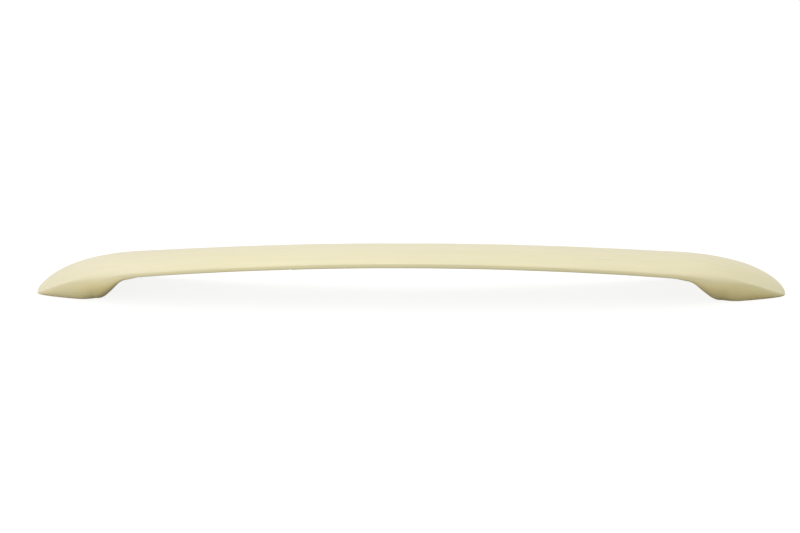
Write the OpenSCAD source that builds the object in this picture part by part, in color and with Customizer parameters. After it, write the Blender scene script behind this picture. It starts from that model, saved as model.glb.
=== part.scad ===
// Roof spoiler for a hatchback, moulded in one solid piece.
// It lies on its bonding pads with the pads on z = 0.
// X runs from tip to tip, +Y points to the front of the car, +Z is up.
// All sizes are in millimetres.

/* [Overall size] */
// Width from tip to tip
span = 1120; // [1060:10:1180]
// Depth of the middle, from the rear lip to the front edge
chord = 145; // [130:1:160]

/* [Rear lip] */
// Height of the lip's lower edge above the pads, in the middle
lip_height = 62; // [58:0.5:70]
// Thickness of the lip
lip_t = 8; // [6:0.1:9]
// Radius of the rounded corner on top of the lip
lip_round = 4.5; // [3:0.5:5]
// Radius of the same corner where it runs on along a foot
foot_round = 2; // [1:0.5:3]
// Radius of the lip line seen from behind
lip_crown_r = 3975; // [3600:25:5200]
// Radius of the lip line seen from above
lip_sweep_r = 4300; // [3400:100:7000]

/* [Upper surface] */
// Angle at which the upper surface rises from the lip, in the middle
rise_angle = 8.5; // [6:0.5:14]
// The same angle at the points
rise_tip = 24; // [18:1:34]
// Angle at which the upper surface falls to the front edge
nose_angle = 38; // [28:1:44]
// Thickness of the front edge
edge_t = 3; // [2:0.5:4]
// Radius of the front edge line seen from above
front_sweep_r = 1700; // [1500:50:2400]

/* [Underside] */
// Thickness of the blade between the lip and the bonding land
blade_t = 13; // [10:1:18]
// Width of the bonding land behind the front edge
land_w = 32; // [24:1:40]
// Width of the slope that leads from the blade down to the land
land_slope = 30; // [20:1:40]
// Height of the bonding land above the pads, in the middle
land_height = 48; // [42:1:52]
// Radius of the roof that the land follows from side to side
roof_r = 2200; // [2000:50:3000]

/* [Feet] */
// Distance from the middle at which the lip's lower edge begins to dip
dip_x = 388; // [380:1:396]
// Width over which it dips
dip_w = 31; // [26:1:38]
// Share of the way down to the pad that it dips
dip = 0.1; // [0.06:0.01:0.2]
// Distance from the middle at which the edge turns down to the foot
flank_x = 412; // [404:1:418]
// Width over which it falls to the pad
flank_w = 53; // [46:1:60]
// Undercut of the rear face below its crease
tuck = 19.5; // [14:0.5:28]
// Extra undercut at the inner end of a foot
heel = 15; // [4:1:20]
// Width over which the extra undercut fades out
heel_w = 29; // [20:1:40]

/* [Tips] */
// Length over which a foot closes to its point
tip_len = 160; // [145:1:180]
// Distance of the points forward of the lip
tip_y = 92; // [84:1:108]
// Fullness of the closing curve, 2 is an ellipse
tip_full = 1.95; // [1.6:0.05:2.3]
// Fall of the crease towards the point, larger falls later
tip_fall = 3; // [2:0.1:4]

/* [Hidden] */
// The pads are moulded a little long and trimmed flat by this much
skirt = 1;
// How softly the land runs down on to the pads
land_soft = 8;
// Height of the crease at the very point
tip_t = 1;
// Depth of the rounded rear edge of the lip
lip_tuck = 3;
// Share of the chord over which the two handles of the upper curve reach
rise_pull = 0.5;
nose_pull = 0.38;
// Angle of the rear face's round where it meets the pad
belly_end = 72;
// Shares of the flank that are rounded at its top and at its foot
flank_top = 0.25;
flank_foot = 0.36;
// The same shares of the dip
dip_top = 0.3;
dip_foot = 0.1;
// Steps of the curves around a section
n_up = 16;
n_corner = 3;
n_rear = 8;
n_under = 13;
// Steps of the stations along one half
n_wing = 15;
n_flank = 23;
n_tip = 16;
half = span / 2;

// Small helpers
function mix(a, b, s) = a + (b - a) * s;
function clamp01(s) = max(0, min(1, s));
function smooth(s) = let (t = clamp01(s)) t * t * (3 - 2 * t);
function bez2(a, b, c, t) = (1 - t) * (1 - t) * a + 2 * t * (1 - t) * b + t * t * c;
function bez3(a, b, c, d, t) =
    let (u = 1 - t) u * u * u * a + 3 * u * u * t * b + 3 * u * t * t * c + t * t * t * d;

// A slope with rounded ends: it leaves 0 over the share a and settles at 1 over the share b
function ramp(s, a, b) =
    let (u = clamp01(s), v = 1 / (1 - a / 2 - b / 2))
    u < a ? v * u * u / (2 * a)
    : u < 1 - b ? v * (u - a / 2)
    : 1 - v * (1 - u) * (1 - u) / (2 * b);

// Lines that the sections follow, as functions of the distance x from the middle
function lip_y(x) = x * x / (2 * lip_sweep_r);
function front_y(x) = chord + x * x / (2 * front_sweep_r);
function tip_at(x) = clamp01((x - (half - tip_len)) / tip_len);
function closing(x) = pow(1 - pow(tip_at(x), tip_full), 1 / tip_full);
function wing_z(x) = lip_height + lip_t - x * x / (2 * lip_crown_r);
function crease_z(x) = mix(tip_t, wing_z(x), 1 - pow(tip_at(x), tip_fall));
function land_z(x) =
    let (z = land_height - x * x / (2 * roof_r))
    (z + sqrt(z * z + land_soft * land_soft)) / 2;
function fallen(x) =
    mix(dip * ramp((x - dip_x) / dip_w, dip_top, dip_foot), 1,
        ramp((x - flank_x) / flank_w, flank_top, flank_foot));
function round_at(x) = min(mix(lip_round, foot_round, fallen(x)), 0.3 * crease_z(x));
function rise(x) = mix(rise_angle, rise_tip, pow(x / half, 1.3));

// Upper surface from the crease to the front edge, as [y, z] with y from the crease
function upper(x) =
    let (c = front_y(x) - lip_y(x), e = closing(x), cz = crease_z(x),
         r = round_at(x), fz = land_z(x) + edge_t,
         a = rise_pull * c, b = nose_pull * c, w = rise(x))
    [for (i = [0:n_up]) let (t = i / n_up)
        [bez3(r * cos(w), a * cos(w), c - b * cos(nose_angle), c, t),
         bez3(cz + r * sin(w) * e, cz + a * sin(w) * e, fz + b * sin(nose_angle) * e, fz, t)]];

// Rounded corner on the crease
function corner(x) =
    let (e = closing(x), cz = crease_z(x), r = round_at(x), w = rise(x))
    [for (i = [1:n_corner]) let (t = i / n_corner)
        [bez2(r * cos(w), 0, 0, t), bez2(cz + r * sin(w) * e, cz, cz - r, t)]];

// Undercut of the rear face at its lower edge
function undercut(x) =
    let (s = fallen(x), h = clamp01((x - flank_x - flank_w) / heel_w))
    mix(lip_tuck, tuck, s) + heel * s * (1 - h) * (1 - h);

// Rear face, a quarter round that leaves the crease upright and tucks under
function rear(x) =
    let (s = fallen(x), cz = crease_z(x), r = round_at(x),
         bottom = mix(cz - min(lip_t, 0.8 * cz), -skirt, s),
         end = mix(88, belly_end, s), depth = undercut(x))
    [for (i = [1:n_rear]) let (w = end * i / n_rear)
        [depth * (1 - cos(w)) / (1 - cos(end)), mix(cz - r, bottom, sin(w) / sin(end))]];

// Underside, from the lip's lower edge to the front edge
function under(x) =
    let (c = front_y(x) - lip_y(x), s = fallen(x), top = upper(x), y0 = undercut(x))
    [for (i = [1:n_under])
        let (y = mix(y0, c, i / n_under),
             blade = lookup(y, top) - mix(lip_t, blade_t, smooth(2 * y / c)),
             land = smooth((y - (c - land_w - land_slope)) / land_slope))
        [y, mix(mix(blade, land_z(x), land), -skirt, s)]];

// One closed section at the signed station x
function section(x) =
    let (d = abs(x), e = closing(d), up = upper(d),
         loop = concat([for (i = [n_up:-1:0]) up[i]], corner(d), rear(d), under(d)))
    [for (p = loop) [x, tip_y + (lip_y(d) + p[0] - tip_y) * e, p[1]]];

// Stations of one half, close together where the shape turns
flank_0 = dip_x - 4;
flank_1 = flank_x + flank_w + 6;
turn_0 = asin(pow(max(tip_at(flank_1), 0.02), tip_full / 2));
half_stations = concat(
    [for (i = [1:n_wing - 1]) flank_0 * i / n_wing],
    [for (i = [0:n_flank - 1]) mix(flank_0, flank_1, i / n_flank)],
    [for (i = [0:n_tip]) half - tip_len * (1 - pow(sin(mix(turn_0, 86, i / n_tip)), 2 / tip_full))]);
stations = concat(
    [for (i = [len(half_stations) - 1:-1:0]) -half_stations[i]], [0], half_stations);

// Depth of the whole part, from the lip to its foremost station
depth = max([for (x = half_stations) tip_y + (front_y(x) - tip_y) * closing(x)]);

// Skin over all sections, closed by a fan at each point
module loft() {
    rings = [for (x = stations) section(x)];
    m = len(rings);
    n = len(rings[0]);
    points = concat([for (r = rings) each r], [[-half, tip_y, edge_t / 2], [half, tip_y, edge_t / 2]]);
    sides = [for (i = [0:m - 2], j = [0:n - 1])
        let (a = i * n + j, b = i * n + (j + 1) % n, c = a + n, d = b + n)
        each i < (m - 1) / 2 ? [[a, c, b], [b, c, d]] : [[a, c, d], [a, d, b]]];
    left = [for (j = [0:n - 1]) [m * n, j, (j + 1) % n]];
    right = [for (j = [0:n - 1]) [m * n + 1, (m - 1) * n + (j + 1) % n, (m - 1) * n + j]];
    polyhedron(points = points, faces = concat(sides, left, right), convexity = 6);
}

// The one moulding, with both pads trimmed flat
module spoiler() {
    color([0.93, 0.89, 0.75])
    translate([0, -depth / 2, 0])
    difference() {
        loft();
        translate([-span, -depth, -20])
            cube([2 * span, 3 * depth, 20]);
    }
}

spoiler();
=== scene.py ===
# %% [markdown]
# Roof spoiler, from frame to finished picture.
# The real part is one moulding of rigid polyurethane foam. It has an arched wing, a thin rounded lip along
# its rear edge, and two pointed feet that tuck under behind. It comes out of the mould cream-coloured and
# satin, ready for paint. We build its skin as a loft: one rule draws a closed section at any distance from
# the middle, and many sections side by side give the surface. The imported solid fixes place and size, so we
# load it first and measure it before we draw anything.

# %% Load the frame and measure it
import math
import bmesh
import bpy
import numpy as np
from mathutils import Matrix, Vector
from mathutils.bvhtree import BVHTree


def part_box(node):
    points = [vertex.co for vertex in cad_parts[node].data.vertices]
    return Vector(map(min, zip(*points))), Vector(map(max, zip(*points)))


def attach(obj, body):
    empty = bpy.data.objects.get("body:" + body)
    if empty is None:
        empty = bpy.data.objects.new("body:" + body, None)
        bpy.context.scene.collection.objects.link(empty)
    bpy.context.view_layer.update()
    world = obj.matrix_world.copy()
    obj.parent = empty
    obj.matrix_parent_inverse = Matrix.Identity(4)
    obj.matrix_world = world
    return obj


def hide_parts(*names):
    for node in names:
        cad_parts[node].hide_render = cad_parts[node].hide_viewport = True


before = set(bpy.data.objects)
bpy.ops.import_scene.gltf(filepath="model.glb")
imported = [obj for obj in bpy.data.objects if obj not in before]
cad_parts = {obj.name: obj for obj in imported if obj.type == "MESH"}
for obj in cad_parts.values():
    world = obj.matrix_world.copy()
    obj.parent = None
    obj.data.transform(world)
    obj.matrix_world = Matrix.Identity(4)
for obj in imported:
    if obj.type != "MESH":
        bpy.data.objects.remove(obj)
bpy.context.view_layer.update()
MM = 0.001
low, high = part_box("spoiler")
half = high.x / MM
depth = (high.y - low.y) / MM
tall = (high.z - low.z) / MM
print("solid, mm:", round(2 * half, 1), "wide,", round(depth, 1), "deep,", round(tall, 1), "high")

# %% [markdown]
# The lines that steer the sections.
# A designer draws a spoiler from a few long curves: the lip seen from behind and from above, the front edge,
# and the line where the lip falls into each foot. We write each as a formula of the distance from the middle,
# because a formula stays smooth at any number of sections, while a list of points would show its corners.
# The sizes are those of the solid, so that the skin lies on it.

# %% Sizes in millimetres and degrees
CHORD = 145.0
LIP_HEIGHT = 62.0
LIP_T = 8.0
LIP_CROWN_R = 3975.0
LIP_SWEEP_R = 4300.0
FRONT_SWEEP_R = 1700.0
RISE_MIDDLE = 8.5
RISE_TIP = 24.0
RISE_POWER = 1.3
NOSE_ANGLE = 38.0
EDGE_T = 3.0
EDGE_ROUND = 1.1
BLADE_T = 13.0
LAND_W = 32.0
LAND_SLOPE = 30.0
LAND_HEIGHT = 48.0
LAND_SOFT = 8.0
ROOF_R = 2200.0
DIP_X = 388.0
DIP_W = 31.0
DIP = 0.10
DIP_TOP = 0.3
DIP_FOOT = 0.1
FLANK_X = 412.0
FLANK_W = 53.0
FLANK_TOP = 0.25
FLANK_FOOT = 0.36
TUCK = 19.5
HEEL = 15.0
HEEL_W = 29.0
BELLY_END = 72.0
LIP_END = 88.0
LIP_SHARE = 0.8
LIP_TUCK = 3.0
LIP_BLUNT = 3.0
FOOT_BLUNT = 2.0
SKIRT = 1.0
TIP_LEN = 160.0
TIP_Y = 92.0
TIP_FULL = 1.95
TIP_FALL = 3.0
TIP_T = 1.0
RISE_PULL = 0.5
NOSE_PULL = 0.38
print("chord", CHORD, "lip", LIP_T, "land", LAND_W)


# %% Small curve helpers
def mix(a, b, s):
    return a + (b - a) * s


def smooth(s):
    t = np.clip(s, 0, 1)
    return t * t * (3 - 2 * t)


def bez2(a, b, c, t):
    return (1 - t) ** 2 * a + 2 * t * (1 - t) * b + t * t * c


def bez3(a, b, c, d, t):
    u = 1 - t
    return u**3 * a + 3 * u * u * t * b + 3 * u * t * t * c + t**3 * d


def ramp(s, a, b):
    """A slope from 0 to 1 that is rounded over the share a at its top and b at its foot."""
    u = np.clip(s, 0, 1)
    v = 1 / (1 - a / 2 - b / 2)
    middle = np.where(u < 1 - b, v * (u - a / 2), 1 - v * (1 - u) ** 2 / (2 * b))
    return np.where(u < a, v * u * u / (2 * a), middle)


print("half way down the flank at", round(float(ramp(0.5, FLANK_TOP, FLANK_FOOT)), 2))


# %% Lines along the part
def tip_at(x):
    return np.clip((x - (half - TIP_LEN)) / TIP_LEN, 0, 1)


def closing(x):
    return (1 - tip_at(x) ** TIP_FULL) ** (1 / TIP_FULL)


def lip_y(x):
    return x * x / (2 * LIP_SWEEP_R)


def front_y(x):
    return CHORD + x * x / (2 * FRONT_SWEEP_R)


def crease_z(x):
    wing = LIP_HEIGHT + LIP_T - x * x / (2 * LIP_CROWN_R)
    return mix(TIP_T, wing, 1 - tip_at(x) ** TIP_FALL)


def land_z(x):
    z = LAND_HEIGHT - x * x / (2 * ROOF_R)
    return (z + np.sqrt(z * z + LAND_SOFT * LAND_SOFT)) / 2


def fallen(x):
    dipped = DIP * ramp((x - DIP_X) / DIP_W, DIP_TOP, DIP_FOOT)
    return mix(dipped, 1, ramp((x - FLANK_X) / FLANK_W, FLANK_TOP, FLANK_FOOT))


def rise(x):
    return np.radians(mix(RISE_MIDDLE, RISE_TIP, (x / half) ** RISE_POWER))


for x in (0.0, 480.0):
    print("crease height at", x, "is", round(float(crease_z(np.array(x))), 1))

# %% [markdown]
# How round the crease is.
# On the moulding the crease is a broad round along the lip, a narrower one at the feet and a crisp line at
# the points. So its reach is a line of its own along the part. We keep the upper curve of the solid, and
# only start it further forward where the round is wide. Along the lip the round reaches far forward and
# hardly down, so the face below it keeps its full height.

# %% Reach of the round on the crease
LIP_ROUND = 4.5
FOOT_ROUND = 2.0
LIP_FORWARD = (14.0, 24.0)
LIP_DOWN = (1.4, 2.4)
SIDES_AT = 280.0
BELLY_ROUND = 8.0
CRISP_FROM = 452.0
CRISP_OVER = 55.0
ROUND_SHARE = 0.3


def solid_round(x):
    """Radius of the same corner on the solid."""
    return np.minimum(mix(LIP_ROUND, FOOT_ROUND, fallen(x)), ROUND_SHARE * crease_z(x))


def crease_reach(x, on_lip):
    """How far the round reaches from the crease, along one of its two faces."""
    middle, sides = on_lip
    lip = mix(middle, sides, smooth(x / SIDES_AT))
    crisp = smooth((x - CRISP_FROM) / CRISP_OVER)
    reach = mix(mix(lip, BELLY_ROUND, fallen(x)), FOOT_ROUND, crisp)
    return np.minimum(reach, ROUND_SHARE * crease_z(x))


for x in (0.0, 400.0, 460.0, 520.0):
    reach = [round(float(crease_reach(np.array(x), side)), 1) for side in (LIP_FORWARD, LIP_DOWN)]
    print("crease at", x, "reaches", reach)

# %% [markdown]
# The section.
# It is drawn as one closed loop in five parts: the upper curve from the front edge back to the crease, the
# round of the crease, the rear face that tucks under, the underside with its bonding land, and the round of
# the front edge. Each part is an array with one row for each station and one column for each point, so numpy
# draws all the sections at once. That is much faster than a Python loop over vertices.

# %% Parts of the section
UP_STEPS = 62
ROUND_STEPS = 8
REAR_STEPS = 26
UNDER_STEPS = 52
EDGE_STEPS = 4
FINE_STEPS = 160
NUDGE = 0.001


def upper_curve(x, t):
    c = front_y(x) - lip_y(x)
    e = closing(x)
    r = solid_round(x)
    w = rise(x)
    nose = math.radians(NOSE_ANGLE)
    a = RISE_PULL * c
    b = NOSE_PULL * c
    y = bez3(r * np.cos(w), a * np.cos(w), c - b * math.cos(nose), c, t)
    z0 = crease_z(x)
    z1 = land_z(x) + EDGE_T
    z = bez3(z0 + r * np.sin(w) * e, z0 + a * np.sin(w) * e, z1 + b * math.sin(nose) * e, z1, t)
    return y, z


def upper_start(x):
    """Share of the upper curve at which the round of the crease ends."""
    r = solid_round(x)
    handle = RISE_PULL * (front_y(x) - lip_y(x)) - r
    return np.maximum(crease_reach(x, LIP_FORWARD) - r, 0) / (3 * handle)


def crease_curve(x, t):
    """It leaves the upper curve along its slope and ends upright on the rear face."""
    t0 = upper_start(x)
    y0, z0 = upper_curve(x, t0)
    y1, z1 = upper_curve(x, t0 + NUDGE)
    knee = z0 - y0 * (z1 - z0) / (y1 - y0)
    return bez2(y0, 0, 0, t), bez2(z0, knee, crease_z(x) - crease_reach(x, LIP_DOWN), t)


def undercut(x):
    fade = np.clip((x - FLANK_X - FLANK_W) / HEEL_W, 0, 1)
    s = fallen(x)
    return mix(LIP_TUCK, TUCK, s) + HEEL * s * (1 - fade) ** 2


def rear_curve(x, t):
    """A quarter round. On the lip it is blunt, so that the face stays upright and turns under late."""
    s = fallen(x)
    z = crease_z(x)
    bottom = mix(z - np.minimum(LIP_T, LIP_SHARE * z), -SKIRT, s)
    end = np.radians(mix(LIP_END, BELLY_END, s))
    blunt = mix(LIP_BLUNT, FOOT_BLUNT, s)
    deep = 1 - (1 - np.sin(end * t) ** blunt) ** (1 / blunt)
    deepest = 1 - (1 - np.sin(end) ** blunt) ** (1 / blunt)
    z_at = mix(z - crease_reach(x, LIP_DOWN), bottom, np.sin(end * t) / np.sin(end))
    return undercut(x) * deep / deepest, z_at


def under_curve(x, t):
    c = front_y(x) - lip_y(x)
    y = mix(undercut(x), c - EDGE_ROUND, t)
    fine = np.linspace(0, 1, FINE_STEPS + 1)[None]
    top_y, top_z = upper_curve(x, fine)
    above = np.array([np.interp(y[i], top_y[i], top_z[i]) for i in range(len(y))])
    blade = above - mix(LIP_T, BLADE_T, smooth(2 * y / c))
    land = smooth((y - (c - LAND_W - LAND_SLOPE)) / LAND_SLOPE)
    return y, mix(mix(blade, land_z(x), land), -SKIRT, fallen(x))


def edge_curve(x):
    """The front edge, from the underside up to the upper surface, with both of its corners rounded."""
    c = front_y(x) - lip_y(x)
    t = np.linspace(0, 1, EDGE_STEPS + 1)[None]
    z0 = mix(land_z(x), -SKIRT, fallen(x))
    z1 = land_z(x) + EDGE_T
    y_low = bez2(c - EDGE_ROUND, c, c, t[:, 1:])
    z_low = bez2(z0, z0, z0 + EDGE_ROUND, t[:, 1:])
    back = EDGE_ROUND * math.cos(math.radians(NOSE_ANGLE))
    drop = EDGE_ROUND * math.sin(math.radians(NOSE_ANGLE))
    y_top = bez2(c, c, c - back, t)
    z_top = bez2(z1 - EDGE_ROUND, z1, z1 + drop * closing(x), t)
    return np.concatenate([y_low, y_top], 1), np.concatenate([z_low, z_top], 1)


print("points around one section:", UP_STEPS + ROUND_STEPS + REAR_STEPS + UNDER_STEPS + 2 * EDGE_STEPS + 1)

# %% [markdown]
# Stations.
# The wing changes slowly, so its sections can stand well apart. At the flank and at the points the shape
# turns quickly. There the stations stand close, and at a point they follow the angle of the closing curve, so
# that its blunt end is as round as the rest. They also stand close at one place on the lip, left of the
# middle, where the part has a small nick in its lower edge.

# %% Stations from tip to tip
NICK_X = -164.7
NICK_REACH = 10.0
NICK_STEP = 0.8
NICK_GAP = 1.0
WING_STEP = 4.2
FLANK_STEP = 1.6
FLANK_BEFORE = 6.0
FLANK_AFTER = 8.0
TIP_STATIONS = 64
LAST_TURN = math.radians(87.5)


def stations():
    start = DIP_X - FLANK_BEFORE
    end = FLANK_X + FLANK_W + FLANK_AFTER
    wing = np.arange(0, start, WING_STEP)
    flank = np.arange(start, end, FLANK_STEP)
    turn = math.asin(float(tip_at(np.array(end))) ** (TIP_FULL / 2))
    angles = np.linspace(turn, LAST_TURN, TIP_STATIONS)
    tip = half - TIP_LEN * (1 - np.sin(angles) ** (2 / TIP_FULL))
    side = np.concatenate([wing, flank, tip])
    both = np.concatenate([-side[:0:-1], side])
    nick = np.arange(NICK_X - NICK_REACH, NICK_X + NICK_REACH, NICK_STEP)
    others = both[np.abs(both - NICK_X) > NICK_REACH + NICK_GAP]
    return np.sort(np.concatenate([others, nick]))


xs = stations()
print("stations:", len(xs))

# %% [markdown]
# The skin.
# We join the sections into quads, close both points with a small fan, and then trim the feet flat at the
# height of the floor, just as the pads of the moulding are trimmed. Cutting with bisect gives a clean
# straight edge round each pad. We also add what a mould leaves: the skin of a long foam part is never quite
# flat. It sinks by up to two tenths of a millimetre as the foam shrinks, so the waves only go inwards.

# %% Points of the skin
def section_grid():
    x = np.abs(xs)[:, None]
    last = 1 - EDGE_ROUND / (3 * NOSE_PULL * CHORD)
    parts = [
        upper_curve(x, mix(last, upper_start(x), np.linspace(0, 1, UP_STEPS)[None])),
        crease_curve(x, np.linspace(0, 1, ROUND_STEPS + 1)[None, 1:]),
        rear_curve(x, np.linspace(0, 1, REAR_STEPS + 1)[None, 1:]),
        under_curve(x, np.linspace(0, 1, UNDER_STEPS + 1)[None, 1:]),
        edge_curve(x),
    ]
    y = np.concatenate([p[0] for p in parts], 1)
    z = np.concatenate([p[1] for p in parts], 1)
    y = TIP_Y + (lip_y(x) + y - TIP_Y) * closing(x) - depth / 2
    return np.stack([np.broadcast_to(xs[:, None], y.shape), y, z], 2)


grid = section_grid()
print("grid:", grid.shape[:2])


# %% Mesh of the skin
def skin_mesh(points):
    m, n = points.shape[:2]
    verts = (points.reshape(-1, 3) * MM).tolist()
    tips = [(side * half * MM, (TIP_Y - depth / 2) * MM, EDGE_T / 2 * MM) for side in (-1, 1)]
    faces = []
    for i in range(m - 1):
        for j in range(n):
            k = (j + 1) % n
            faces.append((i * n + j, i * n + k, (i + 1) * n + k, (i + 1) * n + j))
    last = (m - 1) * n
    for j in range(n):
        k = (j + 1) % n
        faces.append((m * n, k, j))
        faces.append((m * n + 1, last + j, last + k))
    mesh = bpy.data.meshes.new("spoiler_skin")
    mesh.from_pydata(verts + tips, [], faces)
    return mesh


def trim_feet(mesh):
    bm = bmesh.new()
    bm.from_mesh(mesh)
    bmesh.ops.recalc_face_normals(bm, faces=bm.faces)
    geometry = bm.verts[:] + bm.edges[:] + bm.faces[:]
    cut = bmesh.ops.bisect_plane(
        bm, geom=geometry, dist=1e-7, plane_co=(0, 0, 0), plane_no=(0, 0, -1), clear_outer=True)
    rim = [g for g in cut["geom_cut"] if isinstance(g, bmesh.types.BMEdge)]
    made = bmesh.ops.holes_fill(bm, edges=rim, sides=0)
    pads = made["faces"]
    for f in pads:
        f.material_index = 1
    bmesh.ops.triangulate(bm, faces=pads)
    bm.to_mesh(mesh)
    count = len(pads)
    bm.free()
    return count


mesh = skin_mesh(grid)
print("pads trimmed:", trim_feet(mesh))

# %% Push the waves into the skin
PAD_FADE = 4.0
POINT_FADE = 12.0
WAVE = 0.10
WAVE_LENGTHS = (0.31, 0.17, 0.095)
WAVE_LEAN = 0.6
WAVE_SEED = 7


def displace(mesh, height_at):
    """Moves each point along its normal, and leaves the flat pads and the points as they are."""
    n = len(mesh.vertices)
    co = np.empty(n * 3)
    normal = np.empty(n * 3)
    mesh.vertices.foreach_get("co", co)
    mesh.vertices.foreach_get("normal", normal)
    co = co.reshape(-1, 3)
    normal = normal.reshape(-1, 3)
    above = smooth(co[:, 2] / (PAD_FADE * MM))
    edge = smooth((half * MM - np.abs(co[:, 0])) / (POINT_FADE * MM))
    co += normal * (height_at(co) * above * edge)[:, None]
    mesh.vertices.foreach_set("co", co.ravel())
    mesh.update()
    return float(np.abs(height_at(co)).max())


rng = np.random.default_rng(WAVE_SEED)
turns = rng.uniform(0, 2 * math.pi, len(WAVE_LENGTHS))
leans = rng.uniform(-WAVE_LEAN, WAVE_LEAN, len(WAVE_LENGTHS))


def wave_height(co):
    height = np.zeros(len(co))
    for length, turn, lean in zip(WAVE_LENGTHS, turns, leans):
        height += np.sin(2 * math.pi * (co[:, 0] + lean * co[:, 1]) / length + turn)
    return WAVE * MM * (height / len(WAVE_LENGTHS) - 1)


print("skin waves, mm:", round(displace(mesh, wave_height) / MM, 3))

# %% The piece
SHARP_ANGLE = 38.0
mesh.polygons.foreach_set("use_smooth", [True] * len(mesh.polygons))
mesh.set_sharp_from_angle(angle=math.radians(SHARP_ANGLE))
skin = bpy.data.objects.new("spoiler_skin", mesh)
bpy.context.collection.objects.link(skin)
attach(skin, "root")
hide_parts("spoiler")
triangles = sum(len(p.vertices) - 2 for p in mesh.polygons)
print("skin:", len(mesh.vertices), "points,", triangles, "triangles")

# %% [markdown]
# The camera.
# The photograph looks at the rear edge from a little above and a little to the right. We place the camera by
# its angles and its distance from a point in the middle of the part, as on a tripod, and choose the lens so
# that the part fills the same width of the picture. LOOK_PX is the place of that point in the picture.

# %% Camera
ELEVATION = 15.0
SIDEWAYS = 3.491
ROLL = 0.817
DISTANCE = 3.0
FOCAL_PX = 2018.0
PICTURE = (800, 533)
LOOK_PX = (406.25, 272.6)
SENSOR = 36.0
AIM_FORWARD = 80.0
AIM_HIGH = 35.0
aim = Vector((0.0, (AIM_FORWARD - depth / 2) * MM, AIM_HIGH * MM))


def place_camera():
    el = math.radians(ELEVATION)
    az = math.radians(SIDEWAYS)
    forward = Vector((-math.sin(az) * math.cos(el), math.cos(az) * math.cos(el), -math.sin(el)))
    right = Vector((math.cos(az), math.sin(az), 0.0))
    up = right.cross(forward)
    scale = DISTANCE / FOCAL_PX
    to_left = (LOOK_PX[0] - PICTURE[0] / 2) * scale
    to_top = (LOOK_PX[1] - PICTURE[1] / 2) * scale
    middle = aim - right * to_left + up * to_top
    data = bpy.data.cameras.new("camera")
    data.sensor_width = SENSOR
    data.lens = FOCAL_PX * SENSOR / PICTURE[0]
    cam = bpy.data.objects.new("camera", data)
    cam.location = aim - forward * DISTANCE
    look = (middle - cam.location).to_track_quat("-Z", "Y").to_matrix().to_4x4()
    cam.rotation_euler = (look @ Matrix.Rotation(math.radians(-ROLL), 4, "Z")).to_euler()
    bpy.context.collection.objects.link(cam)
    bpy.context.scene.camera = cam
    return cam


camera = place_camera()
print("lens, mm:", round(camera.data.lens, 1))

# %% [markdown]
# Small marks.
# The photographed part is not perfect. It has a nick in the lip, a low blister near the left foot, a few fine
# scratches and a dark speck. We know where each lies in the picture, so we send a ray from the camera through
# that picture point and take the place where it meets the skin. The nick and the blister are real shape, and
# the rest will be masks in the material. Three more masks are painted light on the blister: a painted
# highlight along its top and foot and painted shade at its edge. The nick is cut by moving points up, since
# it is a gap in an edge, and beside it a little of the foam is pressed down.

# %% Places of the marks
PIXELS = {
    "blister": ((152.5, 268.6), (159.0, 268.2)),
    "scratch": ((597.0, 258.4), (613.0, 260.0)),
    "scratch_left": ((574.0, 258.0), (584.0, 258.3)),
    "hairline": ((527.0, 255.8), (538.5, 256.2)),
    "rub_middle": ((414.0, 255.0), (423.0, 255.2)),
    "rub_left": ((343.0, 254.3), (351.0, 254.6)),
    "lip_stain": ((553.0, 268.6), (567.0, 269.2)),
    "speck": ((51.5, 287.0), (51.9, 287.0)),
    # Painted light of the blister: a painted highlight along its top and foot, and painted shade at its edge.
    "blister_highlight_top": ((155.0, 266.6), (161.0, 266.4)),
    "blister_highlight_foot": ((154.5, 270.2), (160.0, 270.0)),
    "blister_shade_edge": ((151.3, 270.3), (153.2, 270.1)),
}
bpy.context.view_layer.update()
corners = [v.co.copy() for v in mesh.vertices]
skin_tree = BVHTree.FromPolygons(corners, [tuple(p.vertices) for p in mesh.polygons])


def on_skin(pixel):
    across = (pixel[0] - PICTURE[0] / 2) / FOCAL_PX
    down = (pixel[1] - PICTURE[1] / 2) / FOCAL_PX
    ray = camera.matrix_world.to_3x3() @ Vector((across, -down, -1.0))
    return skin_tree.ray_cast(camera.location, ray.normalized())[0]


places = {name: [on_skin(pixel) for pixel in ends] for name, ends in PIXELS.items()}
for name, ends in places.items():
    print(name, [tuple(round(v / MM, 1) for v in end) for end in ends])

# %% Nick and blister in the mesh
NICK_HIGH = 1.1
NICK_WIDE = 1.5
BURR_LOW = 0.5
BURR_WIDE = 3.2
BURR_FROM_NICK = 4.4
EDGE_BAND = 2.2
BLISTER_HIGH = 0.28
BLISTER_WIDE = 4.5


def hump(value, width):
    return np.exp(-((value / width) ** 2))


def from_line(co, ends):
    """Distance of each point from the line between two places, in millimetres."""
    a = np.array(ends[0])
    step = np.array(ends[1]) - a
    share = np.clip((co - a) @ step / (step @ step), 0, 1)
    return np.linalg.norm(co - a - share[:, None] * step, axis=1) / MM


def blister_height(co):
    return MM * BLISTER_HIGH * hump(from_line(co, places["blister"]), BLISTER_WIDE)


def cut_nick(mesh):
    """Lifts the lower edge of the lip at the nick, and presses it down a little to the right of it."""
    co = np.empty(len(mesh.vertices) * 3)
    mesh.vertices.foreach_get("co", co)
    co = co.reshape(-1, 3)
    x, y, z = co.T / MM
    at = np.abs(x)
    behind = y + depth / 2 - lip_y(at)
    near = hump(z - crease_z(at) + LIP_T, EDGE_BAND) * hump(behind, 2 * EDGE_BAND)
    cut = NICK_HIGH * hump(x - NICK_X, NICK_WIDE)
    pressed = BURR_LOW * hump(x - NICK_X - BURR_FROM_NICK, BURR_WIDE)
    lift = cut - pressed
    co[:, 2] += near * lift * MM
    mesh.vertices.foreach_set("co", co.ravel())
    mesh.update()
    return float((near * lift).max())


print("blister, mm:", round(displace(mesh, blister_height) / MM, 2))
print("nick, mm:", round(cut_nick(mesh), 2))

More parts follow.
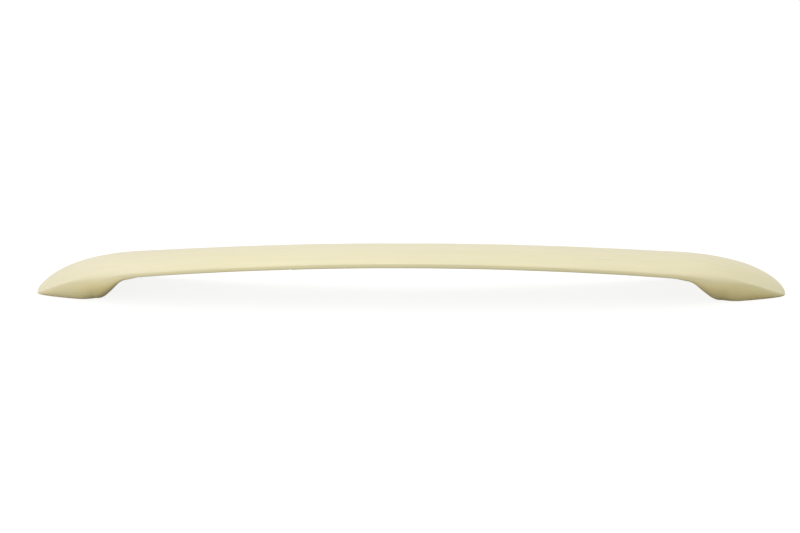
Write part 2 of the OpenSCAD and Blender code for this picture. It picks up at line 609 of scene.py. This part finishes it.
# %% [markdown]
# Shader tools.
# Two materials share the same effects: the satin skin and the plainer, trimmed pads. Each effect is a node
# group with named inputs and outputs, made once, so that a change to the grain reaches both materials. The
# groups give masks and heights only. The shader itself stays in the material. All noise is read at the
# place on the object, so it stays put when the object moves.

# %% Helpers for node groups
def new_group(name, inputs, outputs):
    tree = bpy.data.node_groups.new(name, "ShaderNodeTree")
    for label, kind, default in inputs:
        socket = tree.interface.new_socket(name=label, in_out="INPUT", socket_type=kind)
        if default is not None:
            socket.default_value = default
    for label, kind in outputs:
        tree.interface.new_socket(name=label, in_out="OUTPUT", socket_type=kind)
    return tree, tree.nodes.new("NodeGroupInput"), tree.nodes.new("NodeGroupOutput")


def add(tree, kind, **settings):
    node = tree.nodes.new(kind)
    for key, value in settings.items():
        setattr(node, key, value)
    return node


def math_node(tree, operation, a, b=None, c=None):
    node = add(tree, "ShaderNodeMath", operation=operation)
    for socket, value in zip(node.inputs, (a, b, c)):
        if value is None:
            continue
        if isinstance(value, (int, float)):
            socket.default_value = value
        else:
            tree.links.new(value, socket)
    return node.outputs[0]


def noise(tree, vector, scale, detail=2.0, rough=0.5):
    node = add(tree, "ShaderNodeTexNoise")
    node.inputs["Detail"].default_value = detail
    node.inputs["Roughness"].default_value = rough
    tree.links.new(vector, node.inputs["Vector"])
    if isinstance(scale, (int, float)):
        node.inputs["Scale"].default_value = scale
    else:
        tree.links.new(scale, node.inputs["Scale"])
    return node.outputs["Fac"]


def vector_node(tree, operation, a, b):
    node = add(tree, "ShaderNodeVectorMath", operation=operation)
    tree.links.new(a, node.inputs[0])
    tree.links.new(b, node.inputs[1])
    return node.outputs["Vector"]


def dot_node(tree, a, b):
    node = add(tree, "ShaderNodeVectorMath", operation="DOT_PRODUCT")
    tree.links.new(a, node.inputs[0])
    tree.links.new(b, node.inputs[1])
    return node.outputs["Value"]


def spread(tree, value, low_end, high_end):
    """A mask that rises softly from 0 to 1 between two values, which may also run downwards."""
    node = add(tree, "ShaderNodeMapRange", interpolation_type="SMOOTHSTEP")
    node.inputs["From Min"].default_value = low_end
    node.inputs["From Max"].default_value = high_end
    tree.links.new(value, node.inputs["Value"])
    return node.outputs["Result"]


print("helpers ready")

# %% Group: clouds of colour
CLOUD_EDGE = (0.32, 0.68)


def clouds_group():
    tree, inside, out = new_group(
        "clouds", [("Vector", "NodeSocketVector", None), ("Scale", "NodeSocketFloat", 9.0)],
        [("Mask", "NodeSocketFloat")])
    value = noise(tree, inside.outputs["Vector"], inside.outputs["Scale"], detail=3.0, rough=0.55)
    tree.links.new(spread(tree, value, *CLOUD_EDGE), out.inputs["Mask"])
    return tree


clouds = clouds_group()
print("group:", clouds.name)

# %% Group: flow lines along the part
LINE_EDGE = (0.35, 0.70)


def flow_group():
    tree, inside, out = new_group(
        "flow_lines",
        [("Vector", "NodeSocketVector", None), ("Stretch", "NodeSocketVector", (2.0, 60.0, 60.0))],
        [("Mask", "NodeSocketFloat")])
    stretch = add(tree, "ShaderNodeVectorMath", operation="MULTIPLY")
    tree.links.new(inside.outputs["Vector"], stretch.inputs[0])
    tree.links.new(inside.outputs["Stretch"], stretch.inputs[1])
    value = noise(tree, stretch.outputs[0], 1.0, detail=3.0, rough=0.6)
    tree.links.new(spread(tree, value, *LINE_EDGE), out.inputs["Mask"])
    return tree


flow = flow_group()
print("group:", flow.name)

# %% Group: fine texture of the moulded skin
PEEL_SCALE = 420.0
GRAIN_SCALE = 1700.0
PEEL_SHARE = 0.8
PIT_SCALE = 130.0
PIT_EDGE = (0.03, 0.09)
PIT_ABOVE = 0.93


def texture_group():
    tree, inside, out = new_group(
        "moulded_texture", [("Vector", "NodeSocketVector", None), ("Pits", "NodeSocketFloat", 0.3)],
        [("Height", "NodeSocketFloat"), ("Pit Mask", "NodeSocketFloat")])
    vector = inside.outputs["Vector"]
    peel = noise(tree, vector, PEEL_SCALE)
    fine = noise(tree, vector, GRAIN_SCALE, detail=1.0)
    cells = add(tree, "ShaderNodeTexVoronoi")
    cells.inputs["Scale"].default_value = PIT_SCALE
    tree.links.new(vector, cells.inputs["Vector"])
    dots = math_node(tree, "SUBTRACT", 1.0, spread(tree, cells.outputs["Distance"], *PIT_EDGE))
    colour = add(tree, "ShaderNodeSeparateColor")
    tree.links.new(cells.outputs["Color"], colour.inputs[0])
    chosen = math_node(tree, "GREATER_THAN", colour.outputs[0], PIT_ABOVE)
    pits = math_node(tree, "MULTIPLY", math_node(tree, "MULTIPLY", dots, chosen), inside.outputs["Pits"])
    fine_part = math_node(tree, "MULTIPLY", fine, 1.0 - PEEL_SHARE)
    height = math_node(tree, "MULTIPLY_ADD", peel, PEEL_SHARE, fine_part)
    tree.links.new(math_node(tree, "SUBTRACT", height, pits), out.inputs["Height"])
    tree.links.new(pits, out.inputs["Pit Mask"])
    return tree


texture = texture_group()
print("group:", texture.name)

# %% Group: a fine mark along a line
MARK_EDGE = (0.3, 1.0)


def mark_group():
    tree, inside, out = new_group(
        "line_mark", [("Vector", "NodeSocketVector", None), ("From", "NodeSocketVector", (0, 0, 0)),
                      ("To", "NodeSocketVector", (0.01, 0, 0)), ("Width", "NodeSocketFloat", 0.001)],
        [("Mask", "NodeSocketFloat")])
    start = inside.outputs["From"]
    step = vector_node(tree, "SUBTRACT", inside.outputs["To"], start)
    away = vector_node(tree, "SUBTRACT", inside.outputs["Vector"], start)
    share = math_node(tree, "DIVIDE", dot_node(tree, away, step), dot_node(tree, step, step))
    held = add(tree, "ShaderNodeClamp")
    tree.links.new(share, held.inputs["Value"])
    nearest = add(tree, "ShaderNodeVectorMath", operation="SCALE")
    tree.links.new(step, nearest.inputs[0])
    tree.links.new(held.outputs[0], nearest.inputs["Scale"])
    gap = vector_node(tree, "SUBTRACT", away, nearest.outputs[0])
    distance = math_node(tree, "SQRT", dot_node(tree, gap, gap))
    ratio = math_node(tree, "DIVIDE", distance, inside.outputs["Width"])
    mask = math_node(tree, "SUBTRACT", 1.0, spread(tree, ratio, *MARK_EDGE))
    tree.links.new(mask, out.inputs["Mask"])
    return tree


line_mark = mark_group()
print("group:", line_mark.name)

# %% [markdown]
# The satin skin.
# Raw moulding foam is a warm cream. On its slopes to the front it is painted paler: a painted reflection of
# the white surroundings, which such slopes catch at a glancing angle. Towards the left end it is paler as
# well. Where it faces down it is painted darker and yellower, as painted shade. One stretch right of the
# middle is slightly
# darker. Its sheen is soft: the mould was polished, but release wax leaves cloudy patches. So the colour
# mixes three creams by masks, the roughness follows the clouds and flow lines, and a very small bump gives
# the fine peel. The masks come from the slope of the skin and from the place on the part, in metres.

# %% Colours and masks of the skin
CREAM = (0.800, 0.735, 0.462, 1.0)
# Painted reflection: slopes to the front get this paler cream, standing in for the white surroundings they
# reflect; the left end gets it too.
SHEEN_AND_PALE_CREAM = (0.785, 0.722, 0.515, 1.0)
# Painted shade: faces below get this darker, yellower cream; pits in the skin and the pads get it as their
# own colour.
PIT_AND_SHADE_CREAM = (0.775, 0.665, 0.318, 1.0)
# Slope range over which the painted reflection comes in, by how far the normal points to the front.
SHEEN_SLOPE = (-0.30, 0.30)
# Slope range over which the painted shade comes in, by how far the normal points down; weaker on the raised
# lip and at the left point.
SHADE_BELOW_SLOPE = (-0.60, 0.60)
RAISED_Z = (0.025, 0.055)
RAISED_SHARE = 0.7
# The left end is mixed towards the paler cream over this range.
LEFT_PALE_X = (-0.20, -0.48)
LEFT_PALE_SHARE = 0.6
POINT_X = (-0.44, -0.53)
POINT_SHARE = 0.45
# A band right of the middle is made a little darker.
DARK_BAND_FROM_X = (0.17, 0.31)
DARK_BAND_TO_X = (0.38, 0.46)
DARK_BAND_SHADE = 0.022
LINE_SHADE = 0.022
PATCH_SHADE = 0.02
ROUGHNESS = 0.36
LINE_ROUGH = 0.08
PATCH_ROUGH = 0.06
SKIN_PATCHES = 7.0
SKIN_STRETCH = (5.0, 150.0, 150.0)
SKIN_PITS = 0.25
SKIN_RELIEF = (0.25, 0.00006)
print("creams:", CREAM[:3], SHEEN_AND_PALE_CREAM[:3], PIT_AND_SHADE_CREAM[:3])


# %% Helpers for materials
def colour_mix(tree, factor, a, b):
    node = add(tree, "ShaderNodeMix", data_type="RGBA")
    sockets = {s.identifier: s for s in node.inputs}
    pairs = (("Factor_Float", factor), ("A_Color", a), ("B_Color", b))
    for name, value in pairs:
        if isinstance(value, (tuple, int, float)):
            sockets[name].default_value = value
        else:
            tree.links.new(value, sockets[name])
    return [s for s in node.outputs if s.identifier == "Result_Color"][0]


def less(tree, value, mask, share):
    """Takes a share of the mask off a value."""
    return math_node(tree, "MULTIPLY", value, math_node(tree, "MULTIPLY_ADD", mask, -share, 1.0))


def darker(tree, colour, amount):
    """Scales a colour down by a small amount, as a fraction."""
    node = add(tree, "ShaderNodeVectorMath", operation="SCALE")
    tree.links.new(colour, node.inputs[0])
    tree.links.new(math_node(tree, "SUBTRACT", 1.0, amount), node.inputs["Scale"])
    return node.outputs[0]


def use(tree, group, vector, **values):
    """Places a node group and sets its inputs by name."""
    node = add(tree, "ShaderNodeGroup", node_tree=group)
    tree.links.new(vector, node.inputs["Vector"])
    for key, value in values.items():
        node.inputs[key].default_value = value
    return node


def relief(tree, shader, height, strength, distance):
    node = add(tree, "ShaderNodeBump")
    node.inputs["Strength"].default_value = strength
    node.inputs["Distance"].default_value = distance
    tree.links.new(height, node.inputs["Height"])
    tree.links.new(node.outputs["Normal"], shader.inputs["Normal"])


def base_material(name):
    material = bpy.data.materials.new(name)
    material.use_nodes = True
    tree = material.node_tree
    shader = tree.nodes["Principled BSDF"]
    place = add(tree, "ShaderNodeTexCoord").outputs["Object"]
    return material, tree, shader, place


print("material helpers ready")

# %% Marks in the material, each with its width in metres and how much it darkens
MARKS = {
    "scratch": (0.0011, 0.13),
    "scratch_left": (0.0012, 0.06),
    "hairline": (0.0013, 0.09),
    "rub_middle": (0.0016, 0.03),
    "rub_left": (0.0016, 0.03),
    "lip_stain": (0.0022, 0.05),
    "speck": (0.0013, 0.22),
    # Painted light of the blister: the two pale marks are a painted highlight, the dark one is painted shade,
    # beside the real bump in the mesh.
    "blister_highlight_top": (0.0018, -0.030),
    "blister_highlight_foot": (0.0018, -0.035),
    "blister_shade_edge": (0.0016, 0.050),
}


def marks_shade(tree, place):
    """Sums the marks: above zero is darker than the skin, below zero is paler."""
    total = None
    for name, (width, amount) in MARKS.items():
        node = use(tree, line_mark, place, Width=width)
        node.label = name
        node.inputs["From"].default_value = places[name][0]
        node.inputs["To"].default_value = places[name][1]
        part = math_node(tree, "MULTIPLY", node.outputs["Mask"], amount)
        total = part if total is None else math_node(tree, "ADD", total, part)
    return total


print("marks:", list(MARKS))


# %% Skin material
def skin_masks(tree, place):
    """Masks for the painted reflection on slopes to the front, the paler left end, the painted shade below,
    and a darker band.
    """
    normal = add(tree, "ShaderNodeSeparateXYZ")
    tree.links.new(add(tree, "ShaderNodeTexCoord").outputs["Normal"], normal.inputs[0])
    spot = add(tree, "ShaderNodeSeparateXYZ")
    tree.links.new(place, spot.inputs[0])
    x = spot.outputs["X"]
    # Painted reflection: skin that slopes to the front is painted paler, standing in for the white
    # surroundings it reflects.
    forward = spread(tree, normal.outputs["Y"], *SHEEN_SLOPE)
    left_pale = math_node(tree, "MULTIPLY", spread(tree, x, *LEFT_PALE_X), LEFT_PALE_SHARE)
    # Painted shade: faces that point down are painted darker and yellower, less on the raised lip and near
    # the left point.
    down = spread(tree, math_node(tree, "MULTIPLY", normal.outputs["Z"], -1.0), *SHADE_BELOW_SLOPE)
    down = less(tree, down, spread(tree, spot.outputs["Z"], *RAISED_Z), RAISED_SHARE)
    down = less(tree, down, spread(tree, x, *POINT_X), POINT_SHARE)
    dark_band = math_node(tree, "SUBTRACT", spread(tree, x, *DARK_BAND_FROM_X), spread(tree, x, *DARK_BAND_TO_X))
    return forward, left_pale, down, dark_band


def skin_material():
    material, tree, shader, place = base_material("satin_skin")
    patch = use(tree, clouds, place, Scale=SKIN_PATCHES).outputs["Mask"]
    lines = use(tree, flow, place, Stretch=SKIN_STRETCH).outputs["Mask"]
    grain = use(tree, texture, place, Pits=SKIN_PITS)
    forward, left_pale, down, dark_band = skin_masks(tree, place)
    # First the painted reflection on slopes to the front, then the paler left end, then the painted shade on
    # faces below.
    colour = colour_mix(tree, forward, CREAM, SHEEN_AND_PALE_CREAM)
    colour = colour_mix(tree, left_pale, colour, SHEEN_AND_PALE_CREAM)
    colour = colour_mix(tree, down, colour, PIT_AND_SHADE_CREAM)
    # The marks include the painted highlight and painted shade of the blister.
    shade = marks_shade(tree, place)
    for mask, amount in ((lines, LINE_SHADE), (patch, PATCH_SHADE), (dark_band, DARK_BAND_SHADE)):
        shade = math_node(tree, "MULTIPLY_ADD", mask, amount, shade)
    colour = darker(tree, colour, shade)
    colour = colour_mix(tree, grain.outputs["Pit Mask"], colour, PIT_AND_SHADE_CREAM)
    tree.links.new(colour, shader.inputs["Base Color"])
    rough = math_node(tree, "MULTIPLY_ADD", lines, LINE_ROUGH, ROUGHNESS)
    rough = math_node(tree, "MULTIPLY_ADD", patch, PATCH_ROUGH, rough)
    tree.links.new(rough, shader.inputs["Roughness"])
    relief(tree, shader, grain.outputs["Height"], *SKIN_RELIEF)
    return material


skin.data.materials.append(skin_material())
print("materials:", [m.name for m in skin.data.materials])

# %% [markdown]
# The trimmed pads.
# A pad is flat where the flash was cut and sanded for the adhesive. It is duller and slightly darker, with
# straight sanding marks, so it gets its own material from the same groups.

# %% Pad material
SANDED = (0.780, 0.705, 0.480, 1.0)
SANDED_STRETCH = (40.0, 400.0, 40.0)
SANDED_SHARE = 0.5
SANDED_PITS = 1.0
SANDED_ROUGHNESS = 0.7
SANDED_RELIEF = (0.5, 0.0001)


def pad_material():
    material, tree, shader, place = base_material("sanded_pad")
    lines = use(tree, flow, place, Stretch=SANDED_STRETCH).outputs["Mask"]
    grain = use(tree, texture, place, Pits=SANDED_PITS)
    colour = colour_mix(tree, math_node(tree, "MULTIPLY", lines, SANDED_SHARE), SANDED, CREAM)
    colour = colour_mix(tree, grain.outputs["Pit Mask"], colour, PIT_AND_SHADE_CREAM)
    tree.links.new(colour, shader.inputs["Base Color"])
    shader.inputs["Roughness"].default_value = SANDED_ROUGHNESS
    relief(tree, shader, grain.outputs["Height"], *SANDED_RELIEF)
    return material


skin.data.materials.append(pad_material())
print("materials:", [m.name for m in skin.data.materials])

# %% [markdown]
# The studio.
# The part stands on a plain white floor under a wide, soft light. The picture shows a white ground, but a
# bright floor would light the tucked-under faces from below and flatten them. So the floor is white to the
# camera and darker to the light that bounces off it. In reflections it is plain white paint, which darkens
# under the part. If it glowed there as well, the belly of each foot would get a grey rim.

# %% Floor
FLOOR_SIZE = 16.0
FLOOR_GAP = 0.0002
FLOOR_WHITE = 0.22
FLOOR_GLOW = 0.87
FLOOR_BOUNCE = 0.27
FLOOR_MIRRORED = 0.90


def paint(tree, grey):
    node = add(tree, "ShaderNodeBsdfDiffuse")
    node.inputs["Color"].default_value = (grey, grey, grey, 1.0)
    return node.outputs[0]


def choose(tree, factor, a, b):
    node = add(tree, "ShaderNodeMixShader")
    for socket, value in zip(node.inputs, (factor, a, b)):
        tree.links.new(value, socket)
    return node.outputs[0]


def floor_material():
    material = bpy.data.materials.new("studio_floor")
    material.use_nodes = True
    tree = material.node_tree
    tree.nodes.clear()
    path = add(tree, "ShaderNodeLightPath")
    seen = math_node(tree, "MAXIMUM", path.outputs["Is Camera Ray"], path.outputs["Is Transmission Ray"])
    glow = add(tree, "ShaderNodeEmission")
    glow.inputs["Strength"].default_value = FLOOR_GLOW
    both = add(tree, "ShaderNodeAddShader")
    tree.links.new(paint(tree, FLOOR_WHITE), both.inputs[0])
    tree.links.new(glow.outputs[0], both.inputs[1])
    dim, mirrored = paint(tree, FLOOR_BOUNCE), paint(tree, FLOOR_MIRRORED)
    unseen = choose(tree, path.outputs["Is Glossy Ray"], dim, mirrored)
    out = add(tree, "ShaderNodeOutputMaterial")
    tree.links.new(choose(tree, seen, unseen, both.outputs[0]), out.inputs["Surface"])
    return material


def make_floor():
    h = FLOOR_SIZE / 2
    data = bpy.data.meshes.new("floor")
    data.from_pydata([(-h, -h, 0), (h, -h, 0), (h, h, 0), (-h, h, 0)], [], [(0, 1, 2, 3)])
    plane = bpy.data.objects.new("floor", data)
    plane.location.z = low.z - FLOOR_GAP
    data.materials.append(floor_material())
    bpy.context.collection.objects.link(plane)


make_floor()
print("floor:", FLOOR_SIZE, "m")

# %% World
SKY = 0.78


def make_world():
    world = bpy.data.worlds.new("studio")
    bpy.context.scene.world = world
    world.use_nodes = True
    tree = world.node_tree
    tree.nodes.clear()
    path = add(tree, "ShaderNodeLightPath")
    seen = math_node(tree, "MAXIMUM", path.outputs["Is Camera Ray"], path.outputs["Is Glossy Ray"])
    seen = math_node(tree, "MAXIMUM", seen, path.outputs["Is Transmission Ray"])
    strength = math_node(tree, "ADD", math_node(tree, "MULTIPLY", seen, 1.0 - SKY), SKY)
    ground = add(tree, "ShaderNodeBackground")
    tree.links.new(strength, ground.inputs["Strength"])
    ground.inputs["Color"].default_value = (1.0, 1.0, 1.0, 1.0)
    out = add(tree, "ShaderNodeOutputWorld")
    tree.links.new(ground.outputs[0], out.inputs["Surface"])


make_world()
print("world light:", SKY)

# %% Lamps, each with its place, its size and its power
TOP_BOX = ((-0.15, 1.3, 2.1), (3.0, 1.8), 15.7)
REAR_FILL = ((-1.1, -2.4, 0.45), (4.2, 0.8), 31.2)


def soft_box(name, place, size, power):
    data = bpy.data.lights.new(name, "AREA")
    data.shape = "RECTANGLE"
    data.size, data.size_y = size
    data.energy = power
    lamp = bpy.data.objects.new(name, data)
    lamp.location = place
    lamp.rotation_euler = (aim - Vector(place)).to_track_quat("-Z", "Y").to_euler()
    bpy.context.collection.objects.link(lamp)
    return lamp


soft_box("top_box", *TOP_BOX)
soft_box("rear_fill", *REAR_FILL).visible_glossy = False

# %% [markdown]
# Last, the picture's settings.
# The skin must keep the size of the solid it stands for.

# %% View settings
bpy.context.scene.view_settings.view_transform = "Standard"
